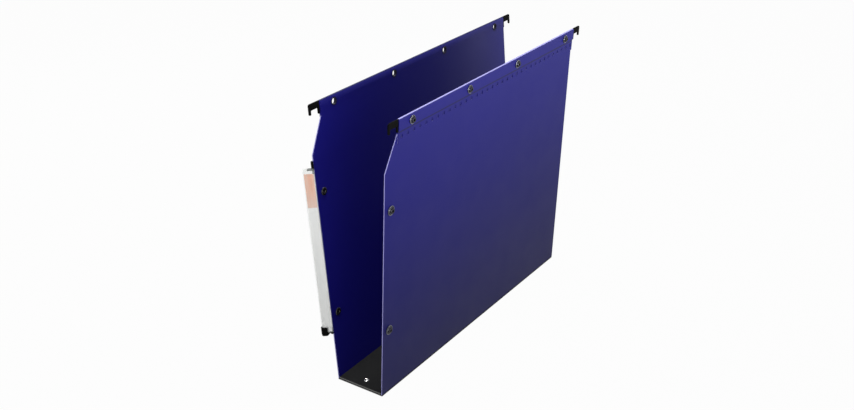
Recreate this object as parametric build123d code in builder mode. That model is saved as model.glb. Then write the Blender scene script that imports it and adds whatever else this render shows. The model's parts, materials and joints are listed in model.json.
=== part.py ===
"""Hanging file folder for a lateral cabinet: a flat base, two folding covers and a swivelling label holder.

Frame: X runs along the covers, with the label end at -X. The front cover is at -Y and the rear cover at +Y.
Z is up, and the origin is the middle of the base's underside.
On a cover, a station is a distance from its label-end edge, and a height is measured from its fold line.
"""
import os
from math import cos, radians, sin

from build123d import *

# Cabinet: distance between the middles of the two support rails
rail_span = 330.0

# Covers
cover_height = 274.3
corner_inset = 17.3        # how far the slanted corner cuts into the label end
corner_drop = 13.8         # upper end of the slant, under the cover's top
corner_rise = 32.0         # height of the slant
sheet = 0.9                # plastic sheet of the covers and their flanges
front_lean = 2.3           # outward lean of each cover at rest, degrees from upright
rear_lean = 4.7

# Base
base_width = 52.0          # over the outside of both covers, at the folds
base_sheet_thick = 0.8
board_thick = 1.2
board_gap = 0.6            # between the board's edge and a cover
fold_gap = 0.3             # running room around the fold's rounded edge
flange_setback = 1.2       # flange ends, behind the ends of the base
flange_slit = 0.4          # between the two flanges, along the middle of the base
rivet_station = 10.5       # from each end of the base
rivet_flange_radius = 2.6
rivet_bore_radius = 1.2
rivet_wall = 0.45
rivet_fit = 0.05           # between a rivet's barrel and its hole
rivet_crown = 0.5          # height of the rolled end over the board
rivet_sink = 0.5           # depth of the pocket for its head, under the base sheet
rivet_floor = 0.6          # closed end of the barrel, over the pocket

# Hem at the top of each cover, with its steel support strip
strip_height = 10.2
strip_thick = 0.6
strip_slack = 0.1          # room around the strip in its pocket, in all
hem_step = 0.5             # height over which the flap steps back to the sheet
weld_band = 11.2           # welded stretch of the flap, under the step
fold_radius = 0.8
weld_spot_radius = 1.9
weld_pitch = 9.28
weld_depth = 0.3
weld_drop = 16.7           # spots' middles, under the cover's top

# Hooks, moulded on the ends of the strips
hook_leg = 2.3             # leg against the hem's end
hook_notch = 9.6           # gap that takes the cabinet's rail
hook_lip = 2.5
hook_wall = 0.45           # plastic on each side of the strip's tongue
hook_crown = 6.1           # depth of the arm over the notch
hook_lip_drop = 10.2
hook_leg_drop = 12.0
hook_corner_radius = 1.8
hook_small_radius = 1.0
hook_edge = 0.3            # rounding of the moulded edges
tongue_height = 3.4        # strip's tongue inside the hook
tongue_length = 10.5
tongue_drop = 1.3          # tongue's upper edge, under the hook's top
tongue_fit = 0.05
lock_radius = 0.9          # moulded lock through the tongue

# Press studs on the front cover, eyelets and sockets on the rear cover
top_shares = (0.0614, 0.3536, 0.6292, 0.9409)   # along the hem, from its label end
top_drop = 6.3             # under the cover's top
side_low = 68.0            # lower side stud, over the fold
side_drop = 37.5           # upper side stud, under the slanted corner
side_station = 9.5
link_radius = 2.75         # stud's boss
link_fit = 0.2             # between a boss and the hole that takes it
shank_radius = 1.5
shank_fit = 0.05
shank_bite = 0.6           # how far a shank reaches into its stud
top_gutter = 0.55          # flat floor between boss and rim, on the top studs
side_gutter = 1.05         # the same on the side studs
stud_rim = 0.8             # height of the raised rim
stud_rim_width = 0.5
stud_floor = 0.45          # between rim and boss
boss_foot = 0.3            # width of the boss's sloping foot
boss_start = 0.9           # where the boss's straight wall begins
stud_height = 2.4
stud_edge = 0.4
stud_recess_radius = 1.3
stud_recess = 1.4
cap_radius = 3.8
cap_edge = 0.35
cap_crown = 1.1
cap_dimple_radius = 1.2
ring_wall = 0.35           # eyelet barrel
ring_fit = 0.05            # between the barrel and what it passes through
ring_flange = 0.9          # eyelet flange, past the barrel
ring_thick = 0.35
ring_lip = 0.5             # clamp ring's width
ring_flare = 0.2           # bevel at the mouth of the barrel
socket_floor = 1.1
socket_depth = 2.0
socket_dish = 0.3          # hollow in the floor

# Label bracket on the rear cover's outer face
bracket_thick = 1.2
bracket_setback = 3.5      # plate's front edge, behind the cover's edge
bracket_width = 12.5
pivot_gap = 0.3            # between the cover's edge and the holder's hinge tube
pivot_out = 0.1            # pivot line, outwards from the middle of the sheet
pin_radius = 0.7
pin_fit = 0.05
lug_wall = 0.5             # lug around a pin
lug_play = 0.3             # between a lug and what turns against it
top_lug = 5.6              # heights of the two lugs
bottom_lug = 1.0
pin_reach = 6.0

# Label holder, card and end pieces
holder_low = 52.4          # lower end of the clear holder, over the fold
holder_drop = 11.3         # its upper end, under the slanted corner
holder_turn = 34.0         # at rest, from square to the cover towards the label end, degrees
holder_outer = 9.1         # from the pivot line to the outer edge
tube_wall = 0.45
back_wall = 0.6
card_slot = 0.8
lens_edge = 0.5
lens_crown = 1.2
side_wall = 0.6
card_thick = 0.3
card_play = 0.25           # at the card's edges
card_lift = 0.4            # card's lower end, over the foot
card_drop = 5.0            # card's upper end, under the holder's
foot_arm = 1.6             # arm's height at the eye
foot_drop = 3.9            # cup's underside, below the holder
foot_grip = 5.5            # cup's reach up the holder
foot_inner = 3.0           # cup's inner edge, from the pivot line
foot_wall = 0.7
foot_round = 1.9           # upright corners of the cup
foot_chin = 1.8            # rounding of its underside
foot_cheek = 2.5           # underside's outer end, set in from the cup's outer side
arm_behind = 1.0
arm_dip = 4.3              # from the pivot line to where the arm has deepened to the cup's underside
clip_height = 2.2
clip_reach = 5.2

# Sizes that follow from those above
hem_length = rail_span - 2 * hook_leg - hook_notch
cover_length = hem_length + corner_inset
half_length = cover_length / 2
corner_high = cover_height - corner_drop
corner_low = corner_high - corner_rise
holder_high = corner_low - holder_drop
card_high = holder_high - card_drop
half_sheet = sheet / 2
pocket = strip_thick + strip_slack
pocket_height = strip_height + strip_slack
hem_outer = half_sheet + pocket + sheet
hem_thick = hem_outer + half_sheet
pocket_low = cover_height - sheet - pocket_height
step_low = pocket_low - hem_step
hem_low = step_low - weld_band
strip_middle = pocket_low + pocket_height / 2
strip_out = half_sheet + pocket / 2
hook_thick = strip_thick + 2 * hook_wall
link_height = cover_height - top_drop
link_hole = link_radius + link_fit
barrel_radius = link_hole + ring_wall
barrel_hole = barrel_radius + ring_fit
shank_hole = shank_radius + shank_fit
top_flange_radius = link_radius + boss_foot + top_gutter + stud_rim_width
side_flange_radius = link_radius + boss_foot + side_gutter + stud_rim_width
rivet_barrel = rivet_bore_radius + rivet_wall
rivet_hole = rivet_barrel + rivet_fit
crease_y = base_width / 2 - half_sheet
crease_z = base_sheet_thick + fold_gap + half_sheet
flange_top = base_sheet_thick + sheet
base_top = flange_top + board_thick
tube_radius = pin_radius + pin_fit + tube_wall
lug_radius = pin_radius + lug_wall
pivot_ahead = tube_radius + pivot_gap
slot_back = tube_radius
slot_front = slot_back + card_slot
face_edge = slot_front + lens_edge
face_crown = slot_front + lens_crown
holder_back = tube_radius - back_wall
bracket_low = holder_low - foot_arm - lug_play - bottom_lug
bracket_high = holder_high + lug_play + top_lug


def cover_plane(side, lean):
    """Middle surface of a cover, from its fold line: local Y runs up the cover, local Z points outwards."""
    return Plane(
        origin=(0, side * crease_y, crease_z),
        x_dir=(-side, 0, 0),
        z_dir=(0, side * cos(radians(lean)), -sin(radians(lean))),
    )


def across(plane, station):
    """Local X of a station on a cover."""
    return plane.x_dir.X * (station - half_length)


def seat(plane, station, height, out):
    """Plane parallel to a cover at a station and height, raised outwards from the middle of the sheet."""
    place = plane.from_local_coords(Vector(across(plane, station), height, out))
    return Plane(origin=place, x_dir=plane.x_dir, z_dir=plane.z_dir)


def turned(place):
    """Plane for a profile revolved about a seat's normal: local X is the radius, local Y is outwards."""
    return Plane(origin=place.origin, x_dir=place.x_dir, z_dir=-place.y_dir)


def cross_section(plane, station):
    """Plane across a cover: local X points outwards, local Y runs up."""
    place = seat(plane, station, 0, 0)
    return Plane(origin=place.origin, x_dir=plane.z_dir, z_dir=plane.z_dir.cross(plane.y_dir))


front = cover_plane(-1, front_lean)
rear = cover_plane(1, rear_lean)
along_x = (1, 0, 0)
top_places = [(corner_inset + share * hem_length, link_height) for share in top_shares]
side_heights = (side_low, corner_low - side_drop)
side_places = [(side_station, height) for height in side_heights]

os.makedirs("parts", exist_ok=True)


# Base sheet: the black underside, as wide as the folded covers, with pockets for the rivets' heads
rivet_spacing = cover_length - 2 * rivet_station
with BuildPart() as base_sheet:
    with BuildSketch():
        Rectangle(cover_length, base_width)
    extrude(amount=base_sheet_thick)
    with BuildSketch():
        with GridLocations(rivet_spacing, 1, 2, 1):
            Circle(rivet_flange_radius + fold_gap)
    extrude(amount=rivet_sink, mode=Mode.SUBTRACT)
    with GridLocations(rivet_spacing, 1, 2, 1):
        Hole(rivet_hole)
base_sheet.part.label = "base_sheet"
export_step(base_sheet.part, "parts/base_sheet.step")

# Base board: stiff black strip over the covers' flanges
with BuildPart() as base_board:
    with BuildSketch(Plane.XY.offset(flange_top)):
        Rectangle(cover_length, base_width - 2 * (sheet + board_gap))
    extrude(amount=board_thick)
    with GridLocations(rivet_spacing, 1, 2, 1):
        Hole(rivet_hole)
base_board.part.label = "base_board"
export_step(base_board.part, "parts/base_board.step")

# Base rivets: one hollow rivet at each end, through the sheet, the flanges and the board, rolled over on top
with BuildPart() as base_rivets:
    for end in (-1, 1):
        middle = Plane(origin=(end * rivet_spacing / 2, 0, 0), x_dir=(1, 0, 0), z_dir=(0, -1, 0))
        with BuildSketch(middle):
            with BuildLine():
                Polyline(
                    (0, fold_gap / 2),
                    (rivet_flange_radius, fold_gap / 2),
                    (rivet_flange_radius, rivet_sink),
                    (rivet_barrel, rivet_sink),
                    (rivet_barrel, base_top),
                    (rivet_flange_radius, base_top),
                )
                ThreePointArc(
                    (rivet_flange_radius, base_top),
                    ((rivet_flange_radius + rivet_bore_radius) / 2, base_top + rivet_crown),
                    (rivet_bore_radius, base_top),
                )
                Polyline(
                    (rivet_bore_radius, base_top),
                    (rivet_bore_radius, rivet_sink + rivet_floor),
                    (0, rivet_sink + rivet_floor),
                    (0, fold_gap / 2),
                )
            make_face()
        revolve(axis=Axis(middle.origin, (0, 0, 1)))
base_rivets.part.label = "base_rivets"
export_step(base_rivets.part, "parts/base_rivets.step")


def make_flange(side):
    """Bottom flange of a cover's sheet, folded in between the base sheet and the board."""
    outer = crease_y - half_sheet - fold_gap
    width = outer - flange_slit / 2
    with BuildPart() as flange:
        with BuildSketch(Plane(origin=(0, side * (outer - width / 2), base_sheet_thick))):
            Rectangle(cover_length - 2 * flange_setback, width)
        extrude(amount=sheet)
        with BuildSketch(Plane.XY.offset(base_sheet_thick)):
            with GridLocations(rivet_spacing, 1, 2, 1):
                Circle(rivet_hole)
        extrude(amount=sheet, mode=Mode.SUBTRACT)
    return flange.part


def make_cover(plane, top_hole):
    """One cover: sheet with a slanted corner, a rounded fold edge and a hem welded to its outside."""
    outline = [
        (0, 0),
        (cover_length, 0),
        (cover_length, pocket_low),
        (corner_inset, pocket_low),
        (corner_inset, corner_high),
        (0, corner_low),
    ]
    with BuildPart() as cover:
        with BuildSketch(plane):
            with BuildLine():
                Polyline(*[(across(plane, station), height) for station, height in outline], close=True)
            make_face()
        extrude(amount=half_sheet, both=True)
        with BuildSketch(cross_section(plane, 0)):
            Circle(half_sheet)
        extrude(amount=cover_length, dir=along_x)
        with BuildSketch(cross_section(plane, corner_inset)) as hem:
            with BuildLine():
                Polyline(
                    (-half_sheet, hem_low),
                    (half_sheet + sheet, hem_low),
                    (half_sheet + sheet, step_low),
                    (hem_outer, pocket_low),
                    (hem_outer, cover_height),
                    (-half_sheet, cover_height),
                    close=True,
                )
            make_face()
            fillet(hem.vertices().sort_by(Axis.Y)[-2:], radius=fold_radius)
            with Locations((strip_out, strip_middle)):
                Rectangle(pocket, pocket_height, mode=Mode.SUBTRACT)
        extrude(amount=hem_length, dir=along_x)
        hem_middle = corner_inset + hem_length / 2
        with BuildSketch(seat(plane, hem_middle, cover_height - weld_drop, half_sheet + sheet)):
            with GridLocations(weld_pitch, 1, int(hem_length // weld_pitch), 1):
                Circle(weld_spot_radius)
        extrude(amount=-weld_depth, mode=Mode.SUBTRACT)
        with BuildSketch(plane):
            with Locations(*[(across(plane, station), height) for station, height in top_places]):
                Circle(top_hole)
            with Locations(*[(across(plane, station), height) for station, height in side_places]):
                Circle(shank_hole)
        extrude(amount=hem_thick, both=True, mode=Mode.SUBTRACT)
    return cover.part


def make_strip(plane, top_hole):
    """Steel strip in a hem, with a tongue at each end for the hooks."""
    tongue_middle = cover_height - tongue_drop - tongue_height / 2
    with BuildPart() as strip:
        with BuildSketch(plane.offset(strip_out)):
            with Locations((across(plane, corner_inset + hem_length / 2), strip_middle)):
                Rectangle(hem_length, strip_height)
            with Locations((across(plane, corner_inset + hem_length / 2), tongue_middle)):
                Rectangle(hem_length + 2 * tongue_length, tongue_height)
            with Locations(*[(across(plane, station), height) for station, height in top_places]):
                Circle(top_hole, mode=Mode.SUBTRACT)
            for end in (corner_inset - tongue_length / 2, cover_length + tongue_length / 2):
                with Locations((across(plane, end), tongue_middle)):
                    Circle(lock_radius + tongue_fit, mode=Mode.SUBTRACT)
        extrude(amount=strip_thick / 2, both=True)
    return strip.part


def corner_of(sketch, point):
    """Corner of a sketch that lies nearest a point of its plane."""
    return sketch.vertices().sort_by_distance((point[0], point[1], 0))[0]


def make_hook(plane, hem_end, reach):
    """Moulded hook at one end of a hem; reach is -1 at the label end and 1 at the back end."""
    lip_start = hook_leg + hook_notch
    corners = [
        (0, 0),
        (lip_start + hook_lip, 0),
        (lip_start + hook_lip, hook_lip_drop),
        (lip_start, hook_lip_drop),
        (lip_start, hook_crown),
        (hook_leg, hook_crown),
        (hook_leg, hook_leg_drop),
        (0, hook_leg_drop),
    ]
    points = [(across(plane, hem_end + reach * away), cover_height - drop) for away, drop in corners]
    tongue_middle = cover_height - tongue_drop - tongue_height / 2
    tongue_x = across(plane, hem_end + reach * tongue_length / 2)
    with BuildPart() as hook:
        with BuildSketch(plane.offset(strip_out)) as side_view:
            with BuildLine():
                Polyline(*points, close=True)
            make_face()
            fillet(corner_of(side_view, points[1]), radius=hook_corner_radius)
            for index in (2, 3, 4, 5, 6):
                fillet(corner_of(side_view, points[index]), radius=hook_small_radius)
        extrude(amount=hook_thick / 2, both=True)
        rims = hook.faces().filter_by(plane).edges()
        fillet(rims, radius=hook_edge)
        with BuildSketch(plane.offset(strip_out)):
            with Locations((tongue_x, tongue_middle)):
                Rectangle(tongue_length + 2 * tongue_fit, tongue_height + 2 * tongue_fit)
        extrude(amount=strip_thick / 2 + tongue_fit, both=True, mode=Mode.SUBTRACT)
        with BuildSketch(plane.offset(strip_out)):
            with Locations((tongue_x, tongue_middle)):
                Circle(lock_radius)
        extrude(amount=strip_thick / 2 + 2 * tongue_fit, both=True)
    return hook.part


def make_studs(plane, places, out, flange_radius):
    """Press studs on a cover's outer face: a flange with a raised rim and a hollow boss in the middle."""
    inner_rim = flange_radius - stud_rim_width
    rim_shoulder = (stud_floor + stud_rim) / 2
    with BuildPart() as studs:
        for station, height in places:
            place = seat(plane, station, height, out)
            with BuildSketch(turned(place)):
                with BuildLine():
                    Polyline((shank_hole, 0), (flange_radius, 0), (flange_radius, rim_shoulder))
                    ThreePointArc(
                        (flange_radius, rim_shoulder),
                        (flange_radius - stud_rim_width / 2, stud_rim),
                        (inner_rim, rim_shoulder),
                    )
                    Polyline(
                        (inner_rim, rim_shoulder),
                        (inner_rim, stud_floor),
                        (link_radius + boss_foot, stud_floor),
                        (link_radius, boss_start),
                        (link_radius, stud_height - stud_edge),
                        (link_radius - stud_edge, stud_height),
                        (stud_recess_radius, stud_height),
                        (stud_recess_radius, stud_height - stud_recess),
                        (0, stud_height - stud_recess),
                        (0, shank_bite + shank_fit),
                        (shank_hole, shank_bite + shank_fit),
                        (shank_hole, 0),
                    )
                make_face()
            revolve(axis=Axis(place.origin, place.z_dir))
    return studs.part


def make_caps(plane, places, grip):
    """Rolled caps on a cover's inner face, each dimpled, with a shank through the grip into its stud."""
    with BuildPart() as caps:
        for station, height in places:
            place = seat(plane, station, height, -half_sheet)
            with BuildSketch(turned(place)):
                with BuildLine():
                    Polyline(
                        (cap_dimple_radius, -cap_edge),
                        (0, -cap_edge),
                        (0, grip + shank_bite),
                        (shank_radius, grip + shank_bite),
                        (shank_radius, 0),
                        (cap_radius, 0),
                        (cap_radius, -cap_edge),
                    )
                    ThreePointArc(
                        (cap_radius, -cap_edge),
                        ((cap_radius + cap_dimple_radius) / 2, -cap_crown),
                        (cap_dimple_radius, -cap_edge),
                    )
                make_face()
            revolve(axis=Axis(place.origin, place.z_dir))
    return caps.part


def make_eyelets(plane, places, grip):
    """Open eyelets through the hem: a flange on the outer face and a barrel as long as its clamp ring."""
    mouth = -grip - ring_thick
    with BuildPart() as eyelets:
        for station, height in places:
            place = seat(plane, station, height, grip - half_sheet)
            with BuildSketch(turned(place)):
                with BuildLine():
                    Polyline(
                        (link_hole, 0),
                        (link_hole, mouth + ring_flare),
                        (link_hole + ring_flare, mouth),
                        (barrel_radius, mouth),
                        (barrel_radius, 0),
                        (barrel_radius + ring_flange, 0),
                    )
                    ThreePointArc(
                        (barrel_radius + ring_flange, 0),
                        ((link_hole + barrel_radius + ring_flange) / 2, ring_thick),
                        (link_hole, 0),
                    )
                make_face()
            revolve(axis=Axis(place.origin, place.z_dir))
    return eyelets.part


def make_clamp_rings(plane, places):
    """Rings on the rear cover's inner face, pressed on the eyelets' barrels."""
    with BuildPart() as rings:
        for station, height in places:
            with BuildSketch(seat(plane, station, height, -half_sheet)):
                Circle(barrel_radius + ring_lip)
                Circle(barrel_hole, mode=Mode.SUBTRACT)
            extrude(amount=-ring_thick)
    return rings.part


def make_sockets(plane, places, out):
    """Blind sockets over the label bracket, each with a hole that takes a stud's boss."""
    mouth = socket_floor + socket_depth
    with BuildPart() as sockets:
        for station, height in places:
            place = seat(plane, station, height, out)
            with BuildSketch(turned(place)):
                with BuildLine():
                    Polyline(
                        (0, socket_floor - socket_dish),
                        (0, shank_bite + shank_fit),
                        (shank_hole, shank_bite + shank_fit),
                        (shank_hole, 0),
                        (side_flange_radius, 0),
                        (side_flange_radius, stud_rim),
                        (side_flange_radius - stud_edge, stud_rim + stud_edge),
                        (barrel_radius + ring_wall, stud_rim + stud_edge),
                        (barrel_radius, mouth),
                        (link_hole, mouth),
                        (link_hole, socket_floor),
                        (link_hole - 2 * socket_dish, socket_floor - socket_dish),
                        close=True,
                    )
                make_face()
            revolve(axis=Axis(place.origin, place.z_dir))
    return sockets.part


# Flanges, covers and everything fixed in the hems, once for each side
bracket_face = half_sheet + bracket_thick
pieces = {
    "front_flange": make_flange(-1),
    "rear_flange": make_flange(1),
    "front_cover": make_cover(front, shank_hole),
    "rear_cover": make_cover(rear, barrel_hole),
    "front_strip": make_strip(front, shank_hole),
    "rear_strip": make_strip(rear, barrel_hole),
    "front_hook_label_end": make_hook(front, corner_inset, -1),
    "front_hook_back_end": make_hook(front, cover_length, 1),
    "rear_hook_label_end": make_hook(rear, corner_inset, -1),
    "rear_hook_back_end": make_hook(rear, cover_length, 1),
    "front_top_studs": make_studs(front, top_places, hem_outer, top_flange_radius),
    "front_top_caps": make_caps(front, top_places, hem_thick),
    "front_side_studs": make_studs(front, side_places, half_sheet, side_flange_radius),
    "front_side_caps": make_caps(front, side_places, sheet),
    "rear_top_eyelets": make_eyelets(rear, top_places, hem_thick),
    "rear_top_rings": make_clamp_rings(rear, top_places),
    "rear_side_sockets": make_sockets(rear, side_places, bracket_face),
    "rear_side_caps": make_caps(rear, side_places, sheet + bracket_thick),
}
for name, piece in pieces.items():
    piece.label = name
    export_step(piece, f"parts/{name}.step")


# Label holder's own plane on the pivot line: local X runs across the label, local Y faces the reader
turn = radians(holder_turn)
pivot = rear.from_local_coords(Vector(across(rear, -pivot_ahead), 0, pivot_out))
label_across = rear.z_dir * cos(turn) - Vector(1, 0, 0) * sin(turn)
label_plane = Plane(origin=pivot, x_dir=label_across, z_dir=rear.y_dir)

# Label bracket: black plate under the side sockets, with a lug and a pin at each end of the pivot line
bracket_height = bracket_high - bracket_low
lug_plane = Plane(origin=pivot, x_dir=(1, 0, 0), z_dir=rear.y_dir)
plate_middle = bracket_setback + bracket_width / 2
pivot_to_plate = pivot_ahead + bracket_setback + bracket_thick
lug_ends = [
    (bracket_low, bottom_lug, bracket_low + bottom_lug + pin_reach),
    (bracket_high - top_lug, top_lug, bracket_high - top_lug - pin_reach),
]
with BuildPart() as label_bracket:
    with BuildSketch(seat(rear, plate_middle, bracket_low + bracket_height / 2, half_sheet)):
        Rectangle(bracket_width, bracket_height)
        with Locations(*[(0, height - bracket_low - bracket_height / 2) for height in side_heights]):
            with Locations((rear.x_dir.X * (side_station - plate_middle), 0)):
                Circle(shank_hole, mode=Mode.SUBTRACT)
    extrude(amount=bracket_thick)
    for low, thick, pin_end in lug_ends:
        with BuildSketch(lug_plane.offset(low)):
            Circle(lug_radius)
            with Locations((pivot_to_plate / 2, half_sheet + bracket_thick / 2 - pivot_out)):
                Rectangle(pivot_to_plate, bracket_thick)
        extrude(amount=thick)
        with BuildSketch(lug_plane.offset(min(low + thick / 2, pin_end))):
            Circle(pin_radius)
        extrude(amount=abs(pin_end - low - thick / 2))
label_bracket.part.label = "label_bracket"
export_step(label_bracket.part, "parts/label_bracket.step")

# Label holder: clear extrusion with a hinge tube behind, a slot for the card and a lens in front of it
slot_middle = (holder_outer - tube_radius) / 2
slot_width = holder_outer + tube_radius - 2 * side_wall
with BuildPart() as label_holder:
    with BuildSketch(label_plane.offset(holder_low)):
        with BuildLine():
            Polyline(
                (-tube_radius, face_edge),
                (-tube_radius, holder_back),
                (holder_outer, holder_back),
                (holder_outer, face_edge),
            )
            ThreePointArc((holder_outer, face_edge), (slot_middle, face_crown), (-tube_radius, face_edge))
        make_face()
        Circle(tube_radius)
        Circle(pin_radius + pin_fit, mode=Mode.SUBTRACT)
        with Locations((slot_middle, (slot_back + slot_front) / 2)):
            Rectangle(slot_width, card_slot, mode=Mode.SUBTRACT)
    extrude(amount=holder_high - holder_low)
    with BuildSketch(label_plane.offset(holder_high - clip_height)):
        with Locations(((clip_reach - tube_radius) / 2, slot_back)):
            Rectangle(clip_reach + tube_radius, slot_back + tube_radius, align=(Align.CENTER, Align.MAX))
    extrude(amount=clip_height, mode=Mode.SUBTRACT)
label_holder.part.label = "label_holder"
export_step(label_holder.part, "parts/label_holder.step")

# Top clip: black eye on the upper pin, with an arm that closes the back of the holder
with BuildPart() as label_top_clip:
    with BuildSketch(label_plane.offset(holder_high - clip_height)):
        with Locations(((clip_reach - tube_radius) / 2, (holder_back + slot_back) / 2)):
            Rectangle(clip_reach + tube_radius, back_wall)
        Circle(tube_radius)
        Circle(pin_radius + pin_fit, mode=Mode.SUBTRACT)
    extrude(amount=clip_height)
label_top_clip.part.label = "label_top_clip"
export_step(label_top_clip.part, "parts/label_top_clip.step")

# Foot: black cup on the holder's lower outer end, with a tapering arm to an eye on the lower pin
cup_outer = holder_outer + foot_wall
cup_back = holder_back - foot_wall
cup_front = face_crown + foot_wall
cup_low = holder_low - foot_drop
cup_tip = cup_outer - foot_cheek
arm_low = holder_low - foot_arm
arm_root = lug_radius + lug_play
below_foot = cup_low - foot_wall
side_plane = Plane(origin=pivot, x_dir=label_across, z_dir=-label_plane.y_dir)
with BuildPart() as label_foot:
    with BuildSketch(label_plane.offset(cup_low)):
        with Locations(((foot_inner + cup_outer) / 2, (cup_back + cup_front) / 2)):
            RectangleRounded(cup_outer - foot_inner, cup_front - cup_back, foot_round)
    extrude(amount=foot_drop + foot_grip)
    fillet(label_foot.faces().sort_by(Axis.Z)[0].edges(), radius=foot_chin)
    with BuildSketch(label_plane.offset(cup_low)):
        with BuildLine():
            Polyline(
                (0, -arm_behind),
                (foot_inner + foot_round, cup_back),
                (foot_inner + foot_round, cup_front - foot_chin),
                (0, slot_back),
                close=True,
            )
        make_face()
        Circle(lug_radius)
        Circle(pin_radius + pin_fit, mode=Mode.SUBTRACT)
    extrude(amount=foot_drop)
    with BuildSketch(side_plane):
        with BuildLine():
            Polyline(
                (-arm_root, arm_low),
                (arm_root, arm_low),
                (arm_dip, cup_low),
                (arm_dip, below_foot),
                (-arm_root, below_foot),
                close=True,
            )
        make_face()
        with BuildLine():
            EllipticalCenterArc((cup_tip, holder_low), foot_cheek, foot_drop, start_angle=270, arc_size=90)
            Polyline(
                (cup_outer, holder_low),
                (cup_outer + foot_wall, holder_low),
                (cup_outer + foot_wall, below_foot),
                (cup_tip, below_foot),
                (cup_tip, cup_low),
            )
        make_face()
    extrude(amount=cup_outer, both=True, mode=Mode.SUBTRACT)
    with BuildSketch(label_plane.offset(holder_low)):
        with BuildLine():
            Polyline(
                (-tube_radius, face_edge),
                (-tube_radius, holder_back),
                (holder_outer, holder_back),
                (holder_outer, face_edge),
            )
            ThreePointArc((holder_outer, face_edge), (slot_middle, face_crown), (-tube_radius, face_edge))
        make_face()
    extrude(amount=foot_grip, mode=Mode.SUBTRACT)
label_foot.part.label = "label_foot"
export_step(label_foot.part, "parts/label_foot.step")

# Label card: paper strip in the holder's slot
with BuildPart() as label_card:
    with BuildSketch(label_plane.offset(holder_low + card_lift)):
        with Locations((slot_middle, (slot_back + slot_front) / 2)):
            Rectangle(slot_width - 2 * card_play, card_thick)
    extrude(amount=card_high - holder_low - card_lift)
label_card.part.label = "label_card"
export_step(label_card.part, "parts/label_card.step")
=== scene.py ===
"""Looks of a hanging file folder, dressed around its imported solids. Lengths are in metres."""
import json
import math

import bpy
import numpy as np
from mathutils import Euler, Matrix, Vector


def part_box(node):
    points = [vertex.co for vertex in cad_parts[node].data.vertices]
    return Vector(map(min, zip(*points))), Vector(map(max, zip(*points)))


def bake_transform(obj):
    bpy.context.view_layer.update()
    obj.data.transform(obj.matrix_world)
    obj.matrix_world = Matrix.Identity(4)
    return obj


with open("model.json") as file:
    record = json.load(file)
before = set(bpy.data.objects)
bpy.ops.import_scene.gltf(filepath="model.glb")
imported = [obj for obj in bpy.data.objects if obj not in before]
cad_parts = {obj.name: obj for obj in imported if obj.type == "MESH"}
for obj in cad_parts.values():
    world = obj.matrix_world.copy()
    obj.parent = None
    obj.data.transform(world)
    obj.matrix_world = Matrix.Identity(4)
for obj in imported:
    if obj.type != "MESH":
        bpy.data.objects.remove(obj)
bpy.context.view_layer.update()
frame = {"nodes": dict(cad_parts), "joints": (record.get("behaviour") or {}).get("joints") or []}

# Camera: stands to the left of the front cover and looks down into the open pocket.
# It has a moderate lens without shift, and is rolled by a quarter of a degree.
camera_data = bpy.data.cameras.new("camera")
camera_data.sensor_width = 36.0
camera_data.lens = 46.918
camera = bpy.data.objects.new("camera", camera_data)
camera.location = (-0.8582, -0.5501, 0.6128)
camera_turn = Euler((math.radians(90 - 25.508), 0.0, math.radians(-55.692))).to_matrix()
camera_roll = Matrix.Rotation(math.radians(-0.273), 3, "Z")
camera.rotation_euler = (camera_turn @ camera_roll).to_euler()
bpy.context.scene.collection.objects.link(camera)
bpy.context.scene.camera = camera


# Base sheet and base board: the black underside, and the black stiffener on the covers' flanges.
# Both are stamped from smooth fibre sheet, and their side faces are coloured a lighter grey than the
# rest.
def finish_named(name, roughness, metallic=0.0, specular=0.5):
    """New material with one Principled shader whose even values sit on its own sockets."""
    material = bpy.data.materials.new(name)
    material.use_nodes = True
    shader = material.node_tree.nodes["Principled BSDF"]
    shader.inputs["Roughness"].default_value = roughness
    shader.inputs["Metallic"].default_value = metallic
    shader.inputs["Specular IOR Level"].default_value = specular
    return material, shader


def node(material, kind, values=(), **settings):
    """Node of a kind, with its settings and its input values given as (socket, value) pairs."""
    made = material.node_tree.nodes.new(kind)
    for key, value in settings.items():
        setattr(made, key, value)
    for socket, value in values:
        made.inputs[socket].default_value = value
    return made


def join(material, start, end):
    """Link from an output socket to an input socket."""
    material.node_tree.links.new(start, end)


def surface(material, reading):
    """Socket with the surface's own coordinates (Object) or its direction (Normal)."""
    return node(material, "ShaderNodeTexCoord").outputs[reading]


def along(material, vector, direction):
    """Socket with how far a vector reaches along a direction: their dot product."""
    product = node(material, "ShaderNodeVectorMath", [(1, direction)], operation="DOT_PRODUCT")
    join(material, vector, product.inputs[0])
    return product.outputs["Value"]


def ramp(material, value, start, end):
    """Socket that goes smoothly from 0 where the value is start to 1 where it is end."""
    limits = [("From Min", start), ("From Max", end)]
    step = node(material, "ShaderNodeMapRange", limits, interpolation_type="SMOOTHSTEP")
    join(material, value, step.inputs["Value"])
    return step.outputs["Result"]


def arithmetic(material, operation, first, second=None, constant=0.0):
    """Socket with the result of an operation on two sockets, or on a socket and a constant."""
    made = node(material, "ShaderNodeMath", [(1, constant)], operation=operation)
    join(material, first, made.inputs[0])
    if second is not None:
        join(material, second, made.inputs[1])
    return made.outputs[0]


def speckle(material, size, detail=3.0):
    """Socket with noise whose features have a given size."""
    values = [("Scale", 1 / size), ("Detail", detail), ("Roughness", 0.6)]
    noise = node(material, "ShaderNodeTexNoise", values)
    join(material, surface(material, "Object"), noise.inputs["Vector"])
    return noise.outputs["Fac"]


def two_tone(material, share, first, second):
    """Socket with a colour between two, by a share; each is a socket or a written colour."""
    mix = node(material, "ShaderNodeMix", data_type="RGBA")
    join(material, share, mix.inputs[0])
    for place, colour in ((6, first), (7, second)):
        if isinstance(colour, tuple):
            mix.inputs[place].default_value = (*colour, 1)
        else:
            join(material, colour, mix.inputs[place])
    return mix.outputs[2]


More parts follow.
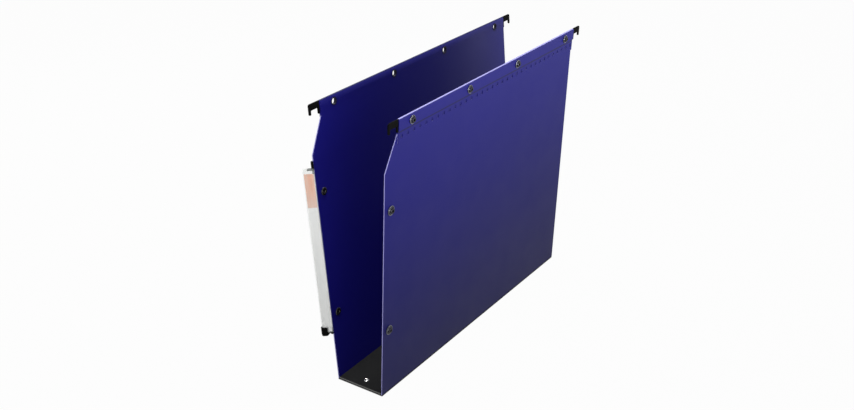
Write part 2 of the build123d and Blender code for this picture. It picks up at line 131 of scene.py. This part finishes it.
def relief(material, shader, size, depth):
    """Fine surface relief: noise with features of the given size, as a bump of the given depth."""
    bump = node(material, "ShaderNodeBump", [("Strength", 1.0), ("Distance", depth)])
    join(material, speckle(material, size), bump.inputs["Height"])
    join(material, bump.outputs["Normal"], shader.inputs["Normal"])


def uneven_gloss(material, shader, size, low, high):
    """Roughness that varies between two values over noise of the given size."""
    spread = node(material, "ShaderNodeMapRange", [("To Min", low), ("To Max", high)])
    join(material, speckle(material, size), spread.inputs["Value"])
    join(material, spread.outputs["Result"], shader.inputs["Roughness"])


def dress(material, *names):
    """Puts a material on solids of the frame."""
    for name in names:
        for place in frame["nodes"][name].material_slots:
            place.material = material


fibre_dark, fibre_light = (0.0045, 0.0047, 0.0045), (0.0075, 0.0075, 0.0072)
fibre_side_grey = (0.12, 0.12, 0.115)
fibre_black, shader = finish_named("fibre_black", 0.5, specular=0.16)
face = two_tone(fibre_black, speckle(fibre_black, 0.03, 4.0), fibre_dark, fibre_light)
upright = along(fibre_black, surface(fibre_black, "Normal"), (0, 0, 1))
cut = ramp(fibre_black, arithmetic(fibre_black, "ABSOLUTE", upright), 0.8, 0.3)
join(fibre_black, two_tone(fibre_black, cut, face, fibre_side_grey), shader.inputs["Base Color"])
relief(fibre_black, shader, 0.0005, 0.00003)
uneven_gloss(fibre_black, shader, 0.015, 0.42, 0.58)
dress(fibre_black, "base_sheet", "base_board")


# Base rivets: hollow rivets of bright plated steel that hold sheet, flanges and board together.
# Their ends are rolled over on top of the board, and the roll shows fine rings.
def ringed(material, centres, pitch):
    """Socket with rings around the nearer of upright axes: a sine of the distance from the axis."""
    place = surface(material, "Object")
    reach = None
    for centre in centres:
        offset = node(material, "ShaderNodeVectorMath", [(1, centre)], operation="SUBTRACT")
        flat = node(material, "ShaderNodeVectorMath", [(1, (1, 1, 0))], operation="MULTIPLY")
        length = node(material, "ShaderNodeVectorMath", operation="LENGTH")
        join(material, place, offset.inputs[0])
        join(material, offset.outputs["Vector"], flat.inputs[0])
        join(material, flat.outputs["Vector"], length.inputs[0])
        away = length.outputs["Value"]
        reach = away if reach is None else arithmetic(material, "MINIMUM", reach, away)
    turns = arithmetic(material, "MULTIPLY", reach, constant=2 * math.pi / pitch)
    return ramp(material, arithmetic(material, "SINE", turns), -1.0, 1.0)


rivet_low, rivet_high = (Vector(corner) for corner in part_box("base_rivets"))
rivet_radius = (rivet_high.y - rivet_low.y) / 2
rivet_centres = [(rivet_low.x + rivet_radius, 0, 0), (rivet_high.x - rivet_radius, 0, 0)]
rivet_bright, shader = finish_named("rivet_bright", 0.26, metallic=1.0)
rings = ringed(rivet_bright, rivet_centres, 0.0003)
bright = two_tone(rivet_bright, rings, (0.52, 0.52, 0.51), (0.72, 0.72, 0.71))
join(rivet_bright, bright, shader.inputs["Base Color"])
relief(rivet_bright, shader, 0.0003, 0.00001)
dress(rivet_bright, "base_rivets")


# Covers and flanges: deep blue plastic sheet with a fine sand grain from its rollers.
# Each cover's upper edge is folded over a steel strip and spot welded in a row under the fold.
# Upward faces, such as the fold's, are painted pale as a highlight on their outer side and darker as
# shade elsewhere. The cut ends are painted pale as a highlight; the seam under the hem and the weld
# marks are painted darker as shade.
blue_dark, blue_light = (0.0040, 0.0032, 0.108), (0.0054, 0.0044, 0.124)
# Painted highlight in the pale blue on this line; painted shade in the two darker blues on the next.
blue_painted_highlight = (0.25, 0.24, 0.50)
blue_weld_shade, blue_painted_shade = (0.0035, 0.003, 0.088), (0.002, 0.0018, 0.045)
weld_pitch, weld_radius, weld_height = 0.00928, 0.0019, 0.2576
seam_height, sheet_face = 0.2618, 0.0006
front_lean, rear_lean = math.radians(2.3), math.radians(4.7)
front_up = (0, -math.sin(front_lean), math.cos(front_lean))
front_out = (0, -math.cos(front_lean), -math.sin(front_lean))
rear_up = (0, math.sin(rear_lean), math.cos(rear_lean))
rear_out = (0, math.cos(rear_lean), -math.sin(rear_lean))
hinge_at = {joint["name"]: joint.get("pos_m") for joint in frame["joints"]}


def beyond(material, fold, direction):
    """Socket with how far a point lies from a fold along a direction."""
    reach = along(material, surface(material, "Object"), direction)
    return arithmetic(material, "SUBTRACT", reach, constant=Vector(fold).dot(Vector(direction)))


def weld_marks(material, height):
    """Socket that is 1 in a row of round marks, one a pitch, at the height of the welds."""
    low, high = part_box("front_strip")
    first = (low[0] + high[0]) / 2 + weld_pitch / 2
    place = along(material, surface(material, "Object"), (1, 0, 0))
    from_first = arithmetic(material, "SUBTRACT", place, constant=first)
    aside = arithmetic(material, "PINGPONG", from_first, constant=weld_pitch / 2)
    flat = node(material, "ShaderNodeCombineXYZ")
    away = node(material, "ShaderNodeVectorMath", operation="LENGTH")
    join(material, aside, flat.inputs["X"])
    join(material, arithmetic(material, "SUBTRACT", height, constant=weld_height), flat.inputs["Y"])
    join(material, flat.outputs["Vector"], away.inputs[0])
    return ramp(material, away.outputs["Value"], weld_radius * 1.15, weld_radius * 0.6)


def blue_sheet(name, fold, up, outward, highlight_from):
    """Blue sheet with a drifting tone, weld marks and seam line darkened as painted shade, and cut
    ends painted pale as a highlight.

    Upward faces, such as the fold's, get a painted highlight where they face outward by more than
    the threshold given last, and painted shade elsewhere."""
    material, shader = finish_named(name, 0.5, specular=0.13)
    facing = surface(material, "Normal")
    height, depth = beyond(material, fold, up), beyond(material, fold, outward)
    out, rising = along(material, facing, outward), along(material, facing, up)
    outer = ramp(material, out, 0.5, 0.9)
    colour = two_tone(material, speckle(material, 0.05, 4.0), blue_dark, blue_light)
    # Weld marks, darkened as painted shade in their dimples.
    marks = arithmetic(material, "MULTIPLY", weld_marks(material, height), outer)
    colour = two_tone(material, marks, colour, blue_weld_shade)
    # Seam line: a dark band painted as the shadow under the hem's step.
    from_seam = arithmetic(material, "SUBTRACT", height, constant=seam_height)
    near_seam = ramp(material, arithmetic(material, "ABSOLUTE", from_seam), 0.0009, 0.0005)
    seam = arithmetic(material, "MULTIPLY", near_seam, outer)
    colour = two_tone(material, seam, colour, blue_painted_shade)
    # Cut ends: a painted highlight in pale blue.
    lengthwise = arithmetic(material, "ABSOLUTE", along(material, facing, (1, 0, 0)))
    below_hem = ramp(material, height, seam_height - 0.001, seam_height - 0.002)
    in_sheet = ramp(material, depth, sheet_face + 0.0001, sheet_face - 0.0001)
    single = arithmetic(material, "MULTIPLY", below_hem, in_sheet)
    cut = arithmetic(material, "MULTIPLY", ramp(material, lengthwise, 0.35, 0.8), single)
    # Painted shade on the upward faces, such as the fold's.
    colour = two_tone(material, ramp(material, rising, 0.15, 0.6), colour, blue_painted_shade)
    # Painted highlight on the outer side of the upward faces, such as the top of the fold.
    highlight_side = ramp(material, out, highlight_from - 0.2, highlight_from + 0.2)
    top = arithmetic(material, "MULTIPLY", ramp(material, rising, 0.65, 0.95), highlight_side)
    colour = two_tone(material, arithmetic(material, "MAXIMUM", cut, top), colour, blue_painted_highlight)
    join(material, colour, shader.inputs["Base Color"])
    relief(material, shader, 0.0004, 0.00002)
    uneven_gloss(material, shader, 0.03, 0.44, 0.56)
    return material


front_blue = blue_sheet("front_blue", hinge_at["front_fold"], front_up, front_out, -0.3)
rear_blue = blue_sheet("rear_blue", hinge_at["rear_fold"], rear_up, rear_out, 0.3)
dress(front_blue, "front_cover", "front_flange")
dress(rear_blue, "rear_cover", "rear_flange")


# Creases: the thin scored webs of the same sheet between each cover and its flange.
# They run the length of the flange.
crease_inner, crease_outer, crease_height, crease_half = 0.02474, 0.02522, 0.00135, 0.00032
crease_points, crease_power = 28, 0.4


def crease(name, side, length, material):
    """Web along X with a superellipse section: y and z go by powers of a cosine and a sine."""
    turn = np.linspace(0, 2 * np.pi, crease_points, endpoint=False)
    across, rise = np.cos(turn), np.sin(turn)
    middle, reach = (crease_inner + crease_outer) / 2, (crease_outer - crease_inner) / 2
    y = side * (middle + reach * np.sign(across) * np.abs(across) ** crease_power)
    z = crease_height + crease_half * np.sign(rise) * np.abs(rise) ** crease_power
    x = np.linspace(-length / 2, length / 2, 2)
    points = np.stack(np.broadcast_arrays(x[:, None], y[None], z[None]), -1).reshape(-1, 3)
    ring = np.arange(crease_points)
    after = (ring + 1) % crease_points
    sides = np.stack([ring, after, after + crease_points, ring + crease_points], -1)
    ends = [ring[::-1].tolist(), (ring + crease_points).tolist()]
    mesh = bpy.data.meshes.new(name)
    mesh.from_pydata(points.tolist(), [], sides.tolist() + ends)
    mesh.validate()
    piece = bpy.data.objects.new(name, mesh)
    bpy.context.scene.collection.objects.link(piece)
    mesh.materials.append(material)
    return piece


flange_low, flange_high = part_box("front_flange")
crease_length = flange_high[0] - flange_low[0]
for side, cover, material in ((-1, "front_cover", front_blue), (1, "rear_cover", rear_blue)):
    web = crease(cover.replace("cover", "crease"), side, crease_length, material)
    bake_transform(web)


# Support strips: cold-rolled steel strips that slide into the hems and carry the hooks.
# Rolling leaves fine lines along the strip.
strip_steel, shader = finish_named("strip_steel", 0.35, metallic=1.0)
rolled = node(strip_steel, "ShaderNodeMapping", [("Scale", (0.02, 1.0, 1.0))])
lines = node(strip_steel, "ShaderNodeTexNoise", [("Scale", 2500.0), ("Detail", 3.0)])
join(strip_steel, surface(strip_steel, "Object"), rolled.inputs["Vector"])
join(strip_steel, rolled.outputs["Vector"], lines.inputs["Vector"])
steel = two_tone(strip_steel, lines.outputs["Fac"], (0.40, 0.40, 0.41), (0.56, 0.56, 0.57))
join(strip_steel, steel, shader.inputs["Base Color"])
dress(strip_steel, "front_strip", "rear_strip")


# Hooks: satin black plastic, moulded over the tongues at the ends of the strips.
# They hang on the cabinet's rails, and rubbing leaves their grain a little shinier in places.
black_dark, black_light = (0.0026, 0.0026, 0.0026), (0.0044, 0.0044, 0.0043)


def moulded_black(name, specular, low, high):
    """Moulded black plastic with fine spark grain and a gloss between two roughness values."""
    material, shader = finish_named(name, 0.45, specular=specular)
    colour = two_tone(material, speckle(material, 0.004, 4.0), black_dark, black_light)
    join(material, colour, shader.inputs["Base Color"])
    relief(material, shader, 0.0003, 0.00002)
    uneven_gloss(material, shader, 0.005, low, high)
    return material


hook_black = moulded_black("hook_black", 0.008, 0.4, 0.55)
dress(hook_black, "front_hook_label_end", "front_hook_back_end")
dress(hook_black, "rear_hook_label_end", "rear_hook_back_end")


# Press studs with their caps, and the sockets behind the side caps: dark-plated pressed steel.
# On the studs a brighter band along the rim is a painted highlight.
plating_dark, plating_grey = (0.016, 0.0165, 0.021), (0.042, 0.043, 0.052)
plating_highlight = (0.165, 0.170, 0.196)
rim_start, rim_end, rim_soft = 0.0006, 0.0009, 0.0001
hem_face, single_face = 0.00205, 0.00045


def plated(name, seat=None):
    """Plated steel with grey specks, and a painted highlight along the rim where a stud's seat is
    given.
    """
    material, shader = finish_named(name, 0.36, metallic=1.0)
    colour = two_tone(material, speckle(material, 0.0012, 4.0), plating_dark, plating_grey)
    if seat is not None:
        # Painted highlight: a brighter band along the stud's rim.
        off = beyond(material, hinge_at["front_fold"], front_out)
        start, end = seat + rim_start, seat + rim_end
        over = ramp(material, off, start - rim_soft, start + rim_soft)
        under = ramp(material, off, end + rim_soft, end - rim_soft)
        rim = arithmetic(material, "MULTIPLY", over, under)
        colour = two_tone(material, rim, colour, plating_highlight)
    join(material, colour, shader.inputs["Base Color"])
    relief(material, shader, 0.0003, 0.00001)
    uneven_gloss(material, shader, 0.001, 0.28, 0.46)
    return material


dress(plated("hem_stud", hem_face), "front_top_studs")
dress(plated("sheet_stud", single_face), "front_side_studs")
dress(plated("cap_steel"), "front_top_caps", "front_side_caps", "rear_side_sockets")


# Eyelets and clamp rings along the rear hem: thin steel, lacquered in a dark blue like the sheet.
# The lacquer is worn through to darker metal in fine specks around the openings.
lacquer_worn, lacquer_blue = (0.004, 0.004, 0.012), (0.007, 0.006, 0.030)
eyelet_blue, shader = finish_named("eyelet_blue", 0.4, specular=0.1)
lacquer = two_tone(eyelet_blue, speckle(eyelet_blue, 0.0012, 4.0), lacquer_worn, lacquer_blue)
join(eyelet_blue, lacquer, shader.inputs["Base Color"])
relief(eyelet_blue, shader, 0.0003, 0.00001)
uneven_gloss(eyelet_blue, shader, 0.001, 0.3, 0.5)
dress(eyelet_blue, "rear_top_eyelets", "rear_top_rings")


# Label bracket, clip and foot, and the caps inside the rear cover: black plastic like the hooks'.
# The caps are moulded in a polished tool, so they shine more than the rest.
dress(hook_black, "label_bracket", "label_top_clip", "label_foot")
dress(moulded_black("cap_black", 0.3, 0.2, 0.32), "rear_side_caps")


# Label holder: clear plastic, extruded with a hinge tube behind and a shallow lens in front.
# Faint streaks along it, lighter and darker, are painted to stand in for refraction in the clear
# plastic.
label_turn = math.radians(34)
outward_part = Vector(rear_out) * math.cos(label_turn)
label_across = outward_part - Vector((1, 0, 0)) * math.sin(label_turn)


def drawn(material, across, up, width, length):
    """Socket with streaks along a piece: noise of one size across it and a longer one up it."""
    place = surface(material, "Object")
    flat = node(material, "ShaderNodeCombineXYZ")
    streaks = node(material, "ShaderNodeTexNoise", [("Scale", 1.0), ("Detail", 2.0)])
    for axis, direction, size in (("X", across, width), ("Y", up, length)):
        reach = along(material, place, direction)
        join(material, arithmetic(material, "DIVIDE", reach, constant=size), flat.inputs[axis])
    join(material, flat.outputs["Vector"], streaks.inputs["Vector"])
    return streaks.outputs["Fac"]


clear_plastic, shader = finish_named("clear_plastic", 0.14, specular=0.5)
shader.inputs["Alpha"].default_value = 0.15
# Painted refraction: streaks of lighter and darker tint along the holder.
refraction_streaks = drawn(clear_plastic, label_across, rear_up, 0.0012, 0.08)
tint = two_tone(clear_plastic, refraction_streaks, (0.46, 0.49, 0.46), (0.60, 0.62, 0.60))
join(clear_plastic, tint, shader.inputs["Base Color"])
dress(clear_plastic, "label_holder")


# Label card: a strip of white paper in the holder, printed with an orange block at its top.
# Soft streaks along the strip, on the paper and in the ink, are painted highlights of the holder's
# lens.
# The ink is paler at the block's lower end.
paper_grey, paper_white = (0.70, 0.70, 0.70), (0.84, 0.83, 0.83)
ink_full, ink_thin, ink_faded = (0.69, 0.31, 0.18), (0.70, 0.41, 0.30), (0.69, 0.48, 0.41)
block_low, block_fade, block_soft = 0.1797, 0.2000, 0.0002
card_paper, shader = finish_named("card_paper", 0.75, specular=0.2)
card_height = beyond(card_paper, hinge_at["rear_fold"], rear_up)
# Painted highlights of the holder's lens: soft streaks along the card.
lens_highlight_streaks = drawn(card_paper, label_across, rear_up, 0.0022, 0.05)
white = two_tone(card_paper, lens_highlight_streaks, paper_grey, paper_white)
ink = two_tone(card_paper, ramp(card_paper, lens_highlight_streaks, 0.35, 0.65), ink_full, ink_thin)
fading = ramp(card_paper, card_height, block_fade, block_low)
ink = two_tone(card_paper, arithmetic(card_paper, "MULTIPLY", fading, constant=0.65), ink, ink_faded)
printed = ramp(card_paper, card_height, block_low - block_soft, block_low + block_soft)
join(card_paper, two_tone(card_paper, printed, white, ink), shader.inputs["Base Color"])
relief(card_paper, shader, 0.0005, 0.00002)
dress(card_paper, "label_card")


# Floor and background: a plain pale floor, and a white studio for camera, gloss and clear plastic.
# The floor keeps a soft shadow of the folder.
floor_reach, floor_drop, floor_white = 6, 0.0002, 0.975


def seen_directly(material):
    """1 for rays from the camera, gloss or clear material, and 0 for light on the object."""
    path = node(material, "ShaderNodeLightPath")
    camera_ray, glossy_ray = path.outputs["Is Camera Ray"], path.outputs["Is Glossy Ray"]
    first = arithmetic(material, "MAXIMUM", camera_ray, glossy_ray)
    return arithmetic(material, "MAXIMUM", first, path.outputs["Is Transmission Ray"])


floor_corners = [(-1, -1), (1, -1), (1, 1), (-1, 1)]
floor_points = [(x * floor_reach, y * floor_reach, -floor_drop) for x, y in floor_corners]
floor_mesh = bpy.data.meshes.new("floor")
floor_mesh.from_pydata(floor_points, [], [(0, 1, 2, 3)])
floor = bpy.data.objects.new("floor", floor_mesh)
bpy.context.scene.collection.objects.link(floor)
floor_pale, shader = finish_named("floor_pale", 0.9, specular=0.0)
shader.inputs["Base Color"].default_value = (0.18, 0.18, 0.18, 1)
glow = node(floor_pale, "ShaderNodeEmission", [("Strength", 1.0)])
mixed = node(floor_pale, "ShaderNodeMixShader")
glowing = arithmetic(floor_pale, "MULTIPLY", seen_directly(floor_pale), constant=floor_white)
join(floor_pale, glowing, mixed.inputs[0])
join(floor_pale, shader.outputs["BSDF"], mixed.inputs[1])
join(floor_pale, glow.outputs["Emission"], mixed.inputs[2])
floor_output = floor_pale.node_tree.nodes["Material Output"]
join(floor_pale, mixed.outputs["Shader"], floor_output.inputs["Surface"])
floor_mesh.materials.append(floor_pale)

world = bpy.data.worlds.new("studio")
world.use_nodes = True
bpy.context.scene.world = world
sky = world.node_tree.nodes["Background"]
sky.inputs["Color"].default_value = (1, 1, 1, 1)
level = node(world, "ShaderNodeMapRange", [("To Min", 0.1), ("To Max", 1.0)])
join(world, seen_directly(world), level.inputs["Value"])
join(world, level.outputs["Result"], sky.inputs["Strength"])


# Lamps: a long softbox low before the front cover that shines upward across it, one high above the
# pocket's mouth, one off the label end, and a large one behind the rear cover.
def softbox(name, place, aim, width, height, power):
    """Rectangular lamp at a place, turned to shine at a point, with its width level."""
    data = bpy.data.lights.new(name, "AREA")
    data.shape = "RECTANGLE"
    data.size, data.size_y = width, height
    data.energy = power
    lamp = bpy.data.objects.new(name, data)
    lamp.location = place
    lamp.rotation_euler = (Vector(aim) - Vector(place)).to_track_quat("-Z", "Y").to_euler()
    lamp.visible_camera = False
    bpy.context.scene.collection.objects.link(lamp)


softbox("front_softbox", (0.0, -0.50, 0.285), (0.0, 0.0225, 1.1376), 1.8, 0.12, 16.0)
softbox("mouth_softbox", (0.0, -0.08, 1.05), (0.0, 0.0, 0.10), 0.9, 0.16, 11.5)
softbox("label_softbox", (-0.90, -0.04, 0.28), (0.0, 0.02, 0.12), 0.25, 0.5, 3.9)
softbox("rear_softbox", (0.25, 0.95, 0.60), (0.0, 0.05, 0.15), 0.9, 0.6, 9.0)

bpy.context.scene.view_settings.view_transform = "Standard"
